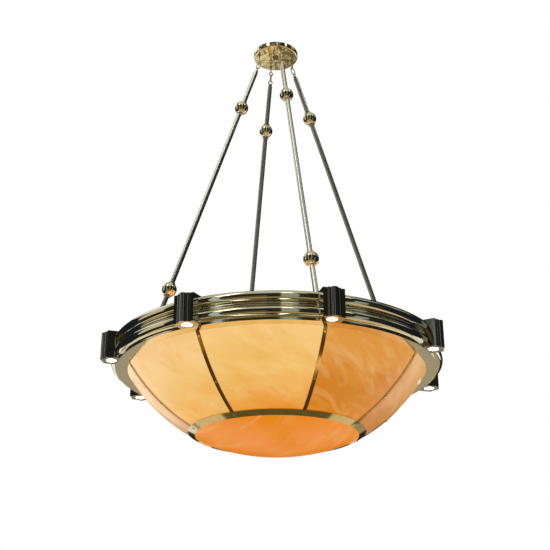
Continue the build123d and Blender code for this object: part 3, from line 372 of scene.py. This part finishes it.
for name, piece in nodes.items():
    finish = FINISH.get(name)
    for start, other in STARTS.items():
        if name.startswith(start):
            finish = other
    if name.startswith("alabaster_panel_"):
        finish = panel_stone[int(name.rsplit("_", 1)[1]) - 1]
    piece.data.materials.clear()
    piece.data.materials.append(finish)
print("finished nodes:", sum(1 for piece in nodes.values() if piece.data.materials[0]))

# %% [markdown]
# ## Bulbs
# A bulb's glass is one smooth turned shape: a round globe that narrows into its neck with
# no edge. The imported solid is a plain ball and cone, so a turned mesh takes its place. Its
# outline is a short list of points, and a spin makes the body: the same way a glass blower's
# mould works. The screw cap stays hidden in the lampholder.


# %% Turned bulbs
AROUND = 56                  # sides of a turned body
MERGE_GAP = 0.000001


def turned(outline, centre):
    """Mesh parts of a body turned round an upright axis from (radius, height) points."""
    points, faces = [], []
    for radius, height in outline:
        for k in range(AROUND):
            a = 2 * math.pi * k / AROUND
            points.append((centre[0] + radius * math.cos(a), centre[1] + radius * math.sin(a), height))
    for ring in range(len(outline) - 1):
        for k in range(AROUND):
            here = ring * AROUND + k
            beside = ring * AROUND + (k + 1) % AROUND
            faces.append((here, beside, beside + AROUND, here + AROUND))
    return points, faces


def turned_pieces(name, outline, centres, finish):
    """One smooth object that holds the same turned body at each centre."""
    points, faces = [], []
    for centre in centres:
        more, sides = turned(outline, centre)
        base = len(points)
        points += more
        faces += [tuple(base + corner for corner in side) for side in sides]
    mesh = bpy.data.meshes.new(name)
    mesh.from_pydata(points, [], faces)
    work = bmesh.new()
    work.from_mesh(mesh)
    bmesh.ops.remove_doubles(work, verts=work.verts, dist=MERGE_GAP)
    bmesh.ops.recalc_face_normals(work, faces=work.faces)
    for face in work.faces:
        face.smooth = True
    work.to_mesh(mesh)
    work.free()
    mesh.materials.append(finish)
    made = bpy.data.objects.new(name, mesh)
    bpy.context.scene.collection.objects.link(made)
    return made


print("turning", AROUND, "sides")

# %% Bulb outline and bulbs
GLOBE_R = 0.029
BULB_NECK_R = 0.0132
SHOULDER_STEPS = 12
GLOBE_STEPS = 14
SOFT_SHARE = 0.55            # how much of the shoulder eases out of the neck

bulb_low, bulb_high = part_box("bowl_bulbs")
BULB_CIRCLE_R = bulb_high.x - GLOBE_R
neck_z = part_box("lampholders")[0].z
globe_z = bulb_low.z + GLOBE_R
outline = [(0.0, bulb_high.z), (BULB_NECK_R, bulb_high.z), (BULB_NECK_R, neck_z)]
for step in range(1, SHOULDER_STEPS + 1):
    t = step / SHOULDER_STEPS
    ease = t * t * (3 - 2 * t)
    swell = SOFT_SHARE * ease + (1 - SOFT_SHARE) * math.sin(t * math.pi / 2)
    outline.append((BULB_NECK_R + (GLOBE_R - BULB_NECK_R) * swell, neck_z + (globe_z - neck_z) * t))
for step in range(1, GLOBE_STEPS + 1):
    a = math.pi / 2 * step / GLOBE_STEPS
    outline.append((GLOBE_R * math.cos(a), globe_z - GLOBE_R * math.sin(a)))
centres = [(BULB_CIRCLE_R, 0), (0, BULB_CIRCLE_R), (-BULB_CIRCLE_R, 0), (0, -BULB_CIRCLE_R)]
bulbs = turned_pieces("Bulbs.Turned", outline, centres, BULB_GLASS)
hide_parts("bowl_bulbs")
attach(bulbs, "bowl")
print("bulbs:", len(centres), "of", len(outline), "rings each")

# %% [markdown]
# ## Camera
# The photograph looks up at the bowl from well below the rim and a little to one side.
# The camera stands where a fit to the photograph's outlines put it. Its axes are built one
# by one: forward first, then right and up, with the last small roll.

# %% Camera
TURN = math.radians(28.2)        # from the front towards +X
DISTANCE = 2.56985
BELOW_RIM = 0.8102
PITCH = math.radians(22.97)
YAW = math.radians(-0.09)
ROLL = math.radians(-0.16)
LENS = 68.49
SENSOR = 36.0
FAR_CLIP = 60.0

across = Vector((math.cos(TURN), math.sin(TURN), 0))
ahead = Vector((-math.sin(TURN), math.cos(TURN), 0))
up = Vector((0, 0, 1))
stand = -DISTANCE * ahead + Vector((0, 0, RIM_Z - BELOW_RIM))
forward = math.cos(PITCH) * (math.sin(YAW) * across + math.cos(YAW) * ahead) + math.sin(PITCH) * up
right = forward.cross(up).normalized()
above = right.cross(forward)
right, above = (
    right * math.cos(ROLL) + above * math.sin(ROLL),
    above * math.cos(ROLL) - right * math.sin(ROLL),
)
camera_data = bpy.data.cameras.new("Camera")
camera_data.lens = LENS
camera_data.sensor_width = SENSOR
camera_data.sensor_fit = "HORIZONTAL"
camera_data.clip_end = FAR_CLIP
camera = bpy.data.objects.new("Camera", camera_data)
camera.matrix_world = Matrix((
    (right.x, above.x, -forward.x, stand.x),
    (right.y, above.y, -forward.y, stand.y),
    (right.z, above.z, -forward.z, stand.z),
    (0, 0, 0, 1),
))
bpy.context.scene.collection.objects.link(camera)
bpy.context.scene.camera = camera
print("camera at", [round(v, 3) for v in stand])

# %% [markdown]
# ## Studio
# The world is white to the camera, and a soft even light to dull surfaces. A pale floor lies
# far below, as it does under a lamp that hangs from a ceiling, and blends into the white.


# %% World
SOFT_LIGHT = 0.45

world = bpy.data.worlds.new("Studio")
bpy.context.scene.world = world
air = Shader(world)
rays = air.add("ShaderNodeLightPath")
seen = air.math("MAXIMUM", rays.outputs["Is Camera Ray"], rays.outputs["Is Glossy Ray"])
seen = air.math("MAXIMUM", seen, rays.outputs["Is Transmission Ray"])
soft = air.add("ShaderNodeBackground", {"Color": (1.0, 0.985, 0.96, 1.0), "Strength": SOFT_LIGHT})
white = air.add("ShaderNodeBackground", {"Color": (1.0, 1.0, 1.0, 1.0), "Strength": 1.0})
both = air.add("ShaderNodeMixShader", {0: seen, 1: soft.outputs[0], 2: white.outputs[0]})
air.add("ShaderNodeOutputWorld", {"Surface": both.outputs[0]})
print("world", world.name, "with soft light", SOFT_LIGHT)


# %% Floor
FLOOR_Z = -8.2
FLOOR_HALF = 30.0
FLOOR_LIFT = 0.62            # light added for the camera, so that the floor meets the white


def flat_sheet(name, half, height):
    mesh = bpy.data.meshes.new(name)
    corners = [(-half, -half, height), (half, -half, height), (half, half, height), (-half, half, height)]
    mesh.from_pydata(corners, [], [(0, 1, 2, 3)])
    sheet = bpy.data.objects.new(name, mesh)
    bpy.context.scene.collection.objects.link(sheet)
    return sheet


floor = flat_sheet("Floor", FLOOR_HALF, FLOOR_Z)
floor_paint, s = material("Floor.Pale")
path = s.add("ShaderNodeLightPath")
seen = s.math("MAXIMUM", path.outputs["Is Camera Ray"], path.outputs["Is Transmission Ray"])
where = s.add("ShaderNodeTexCoord").outputs["Object"]
speckle = s.spread(s.noise(where, 3.0, detail=3.0), 0.3, 0.7, 0.78, 0.82)
paint = s.add("ShaderNodeBsdfPrincipled", {
    "Base Color": s.grey(speckle), "Roughness": 0.8,
    "Emission Color": (1.0, 1.0, 1.0, 1.0), "Emission Strength": s.math("MULTIPLY", seen, FLOOR_LIFT),
})
s.finish(paint)
floor.data.materials.append(floor_paint)
print("floor at", FLOOR_Z)

# %% [markdown]
# ## Reflection cards
# Polished brass shows the room round it, tinted by its own colour. The photograph's brass is
# full of dark and bright bars, which come from the room and not from the lamp. So curved
# cards stand all round it in place of a room, where only mirrors see them: dark walls, a
# pale ceiling, floor tones, and a few bright strips and patches for windows and lamps. They
# hide the white world from every mirror, on all sides, so the bars belong to this studio
# and not to the brass. In another room the same finishes mirror that room instead.


# %% Card recipe
CARD_CENTRE = Vector((0, 0, -0.9))
CARD_STEP = 5                # degrees of curve for each strip of a card


def card_paint(name, colour, strength=1.0):
    """A glow that mirrors find by themselves, so that small bright cards add less grain."""
    made, s = material(name)
    s.finish(s.add("ShaderNodeEmission", {"Color": colour, "Strength": strength}))
    made.cycles.emission_sampling = "NONE"
    return made


def card(name, turn_from, turn_to, rise_from, rise_to, paint, radius):
    """A curved card round the lamp: turns in degrees from the camera's side, rises in degrees."""
    steps = max(2, int(abs(turn_to - turn_from) / CARD_STEP) + 1)
    climbs = max(2, int(abs(rise_to - rise_from) / CARD_STEP) + 1)
    points, faces = [], []
    for i in range(steps + 1):
        a = TURN + math.radians(-90 + turn_from + (turn_to - turn_from) * i / steps)
        for j in range(climbs + 1):
            e = math.radians(rise_from + (rise_to - rise_from) * j / climbs)
            out = Vector((math.cos(a) * math.cos(e), math.sin(a) * math.cos(e), math.sin(e)))
            points.append(CARD_CENTRE + radius * out)
    for i in range(steps):
        for j in range(climbs):
            k = i * (climbs + 1) + j
            faces.append((k, k + 1, k + climbs + 2, k + climbs + 1))
    mesh = bpy.data.meshes.new(name)
    mesh.from_pydata(points, [], faces)
    mesh.materials.append(paint)
    made = bpy.data.objects.new(name, mesh)
    bpy.context.scene.collection.objects.link(made)
    made.visible_camera = False
    made.visible_diffuse = False
    made.visible_transmission = False
    made.visible_shadow = False
    return made


print("cards stand round", tuple(CARD_CENTRE))

# %% Card colours
DARK = card_paint("Card.Dark", linear(40, 40, 35))
NIGHT = card_paint("Card.Night", linear(24, 32, 44))
CEILING = card_paint("Card.Ceiling", linear(198, 196, 184))
SKY = card_paint("Card.Sky", linear(176, 192, 198))
OLIVE = card_paint("Card.Olive", linear(104, 98, 66))
BEIGE = card_paint("Card.Beige", linear(204, 186, 156))
FAR_FLOOR = card_paint("Card.FarFloor", linear(164, 156, 140))
PALE_FLOOR = card_paint("Card.PaleFloor", linear(226, 220, 200))
BROWN = card_paint("Card.Brown", linear(98, 86, 66))
SOFT = card_paint("Card.Soft", linear(146, 156, 160))
WHITE = card_paint("Card.White", (1.0, 1.0, 0.97, 1.0))
COOL = card_paint("Card.Cool", (0.88, 0.95, 1.0, 1.0))
STRONG = card_paint("Card.Strong", (1.0, 0.99, 0.94, 1.0), strength=3.0)
BRIGHT = card_paint("Card.Bright", (1.0, 0.99, 0.95, 1.0), strength=2.2)
print("card colours:", sum(made.name.startswith("Card") for made in bpy.data.materials))

# %% [markdown]
# Each row below is one card: its name, the turns and rises between which it stands, in
# degrees, its colour and its distance. The big ones stand furthest off, and the bright
# strips nearest. Turn 0 is the camera's side, and plus is to the camera's right.

# %% Cards
CARDS = (
    # the walls, the ceiling and the ground
    ("Card.Wall.Left", -180, 0, -34, 40, DARK, 7.0),
    ("Card.Wall.Right", 0, 180, -34, 40, DARK, 7.0),
    ("Card.Upper.Left", -180, 0, 40, 62, DARK, 7.0),
    ("Card.Upper.Right", 0, 180, 40, 62, DARK, 7.0),
    ("Card.Top.Left", -180, 0, 62, 89, CEILING, 7.0),
    ("Card.Top.Right", 0, 180, 62, 89, CEILING, 7.0),
    ("Card.Low.Left", -180, 0, -89, -34, OLIVE, 7.0),
    ("Card.Low.Right", 0, 180, -89, -34, OLIVE, 7.0),
    # the floor behind the lamp, and shelves of beige in front and to the right
    ("Card.Far.Left", -180, -118, -28, -12, FAR_FLOOR, 6.8),
    ("Card.Far.Right", 118, 180, -28, -12, FAR_FLOOR, 6.8),
    ("Card.Pale.Left", -180, -118, -52, -28, PALE_FLOOR, 6.8),
    ("Card.Pale.Right", 118, 180, -52, -28, PALE_FLOOR, 6.8),
    ("Card.Brown.Front", -34, -6, -34, -4, BROWN, 6.6),
    ("Card.Shelf.Left", -118, 0, -44, -36, BEIGE, 6.7),
    ("Card.Shelf.Right", 0, 60, -44, -36, BEIGE, 6.7),
    ("Card.Beige.Right", 60, 118, -64, -34, BEIGE, 6.7),
    # dark places: where the camera stands, and two night windows
    ("Card.Camera", -9, 1, -80, -46, DARK, 6.4),
    ("Card.Night.Left", -132, -98, -32, 30, NIGHT, 6.6),
    ("Card.Night.Right", 74, 150, -32, 30, NIGHT, 6.6),
    # cool light high up, and white beside the bowl for the ribs at its sides
    ("Card.Sky.Front", -72, 24, 42, 60, SKY, 6.5),
    ("Card.Sky.Left", -150, -100, 34, 58, COOL, 6.5),
    ("Card.Sky.Right", 70, 96, 44, 60, SKY, 6.5),
    ("Card.White.Left", -160, -130, -24, 6, COOL, 6.2),
    ("Card.White.Right", 114, 146, -32, -4, COOL, 6.2),
    # stripes behind the lamp, for the underside of the canopy and of the ring
    ("Card.Stripe.Left", -175, -168, -52, -27, WHITE, 6.4),
    ("Card.Stripe.Right", 164, 170, -52, -27, WHITE, 6.4),
    ("Card.Stripe.Dark", 174, 180, -50, -27, BROWN, 6.4),
    ("Card.Stripe.Far", -164, -160, -60, -24, WHITE, 6.4),
    # bright patches and soft lines, for the band, the balls, the rods and the housings
    ("Card.Strong.Top", -48, -35, 40, 66, STRONG, 6.0),
    ("Card.Strong.Low", -47, -36, -84, -60, STRONG, 6.0),
    ("Card.Strong.Line", -43, -36, -60, 40, SKY, 6.0),
    ("Card.Front.Top", 4, 13, 44, 58, BRIGHT, 6.0),
    ("Card.Front.Low", 4, 13, -84, -60, BRIGHT, 6.0),
    ("Card.Front.Line", 3, 14, -30, 44, SOFT, 6.0),
    ("Card.Right.Top", 50, 59, 40, 62, BRIGHT, 6.0),
    ("Card.Right.Low", 50, 60, -80, -56, BRIGHT, 6.0),
    ("Card.Right.Line", 50, 60, -40, 8, SOFT, 6.0),
    ("Card.Left.Soft", -100, -76, -6, 42, CEILING, 6.0),
    ("Card.Right.Soft", 88, 112, 30, 44, FAR_FLOOR, 6.0),
)
for row in CARDS:
    card(*row)
print("cards:", len(CARDS))

# %% [markdown]
# ## Soft light
# The studio's lamps are large soft panels at a plain level. They light the dull surfaces
# and the stone's body, and mirrors don't see them.


# %% Soft lamps
def soft_lamp(name, place, size, power):
    data = bpy.data.lights.new(name, "AREA")
    data.shape = "SQUARE"
    data.size = size
    data.energy = power
    lamp = bpy.data.objects.new(name, data)
    lamp.location = place
    aim = CARD_CENTRE - Vector(place)
    lamp.rotation_euler = aim.to_track_quat("-Z", "Y").to_euler()
    lamp.visible_camera = False
    lamp.visible_glossy = False
    bpy.context.scene.collection.objects.link(lamp)
    return lamp


soft_lamp("Lamp.Key", (-2.6, -3.0, 0.6), 2.0, 55.0)
soft_lamp("Lamp.Fill", (3.4, -1.2, -1.2), 2.4, 30.0)
soft_lamp("Lamp.Back", (0.5, 3.6, -0.2), 2.4, 30.0)
print("lamps:", len(bpy.data.lights))

# %% [markdown]
# ## Finish
# The Standard view shows colours about as they are written.

# %% View settings
bpy.context.scene.view_settings.view_transform = "Standard"
